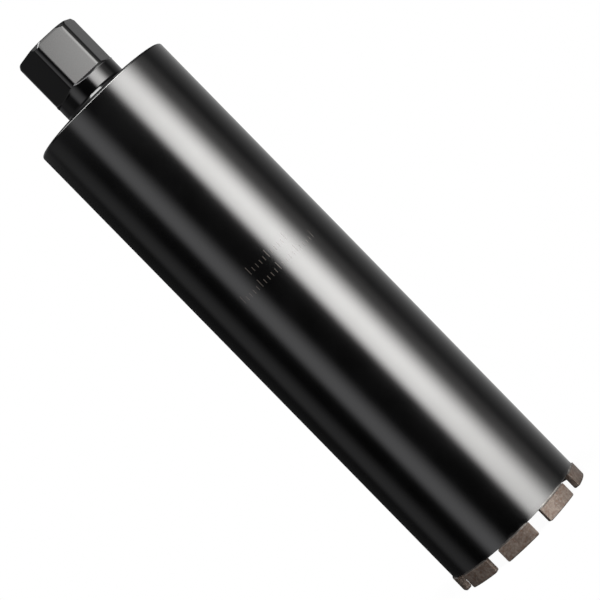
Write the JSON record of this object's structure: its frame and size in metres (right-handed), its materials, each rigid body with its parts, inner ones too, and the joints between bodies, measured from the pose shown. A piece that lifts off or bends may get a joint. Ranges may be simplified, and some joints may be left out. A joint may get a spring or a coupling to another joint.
{
  "type": "diamond core bit",
  "caption": "Wet-drilling core bit: thin steel barrel with a ring of diamond segments at the open end and a threaded hexagon hub on the closed end.",
  "frame": {"origin": "centre of the crown, on the plane of the segment tips that the bit stands on", "axes": "+Z along the bit's axis, from the crown to the threaded hub; -Y faces one wrench flat and one gap of the crown"},
  "size_m": [0.102, 0.1017, 0.417],
  "materials": {
    "black_paint": "semi-gloss black paint on steel",
    "hub_black": "semi-gloss black paint on machined steel",
    "diamond_segment": "sintered metal powder with diamond grit, matt and gritty",
    "braze": "dull silver braze metal"
  },
  "bodies": {
    "root": {"barrel": "black_paint", "end_cap": "black_paint", "cap_weld": "black_paint", "hub": "hub_black", "hub_weld": "hub_black", "segment_1": "diamond_segment", "segment_2": "diamond_segment", "segment_3": "diamond_segment", "segment_4": "diamond_segment", "segment_5": "diamond_segment", "segment_6": "diamond_segment", "segment_7": "diamond_segment", "segment_8": "diamond_segment", "segment_9": "diamond_segment", "braze_1": "braze", "braze_2": "braze", "braze_3": "braze", "braze_4": "braze", "braze_5": "braze", "braze_6": "braze", "braze_7": "braze", "braze_8": "braze", "braze_9": "braze"}
  },
  "joints": []
}
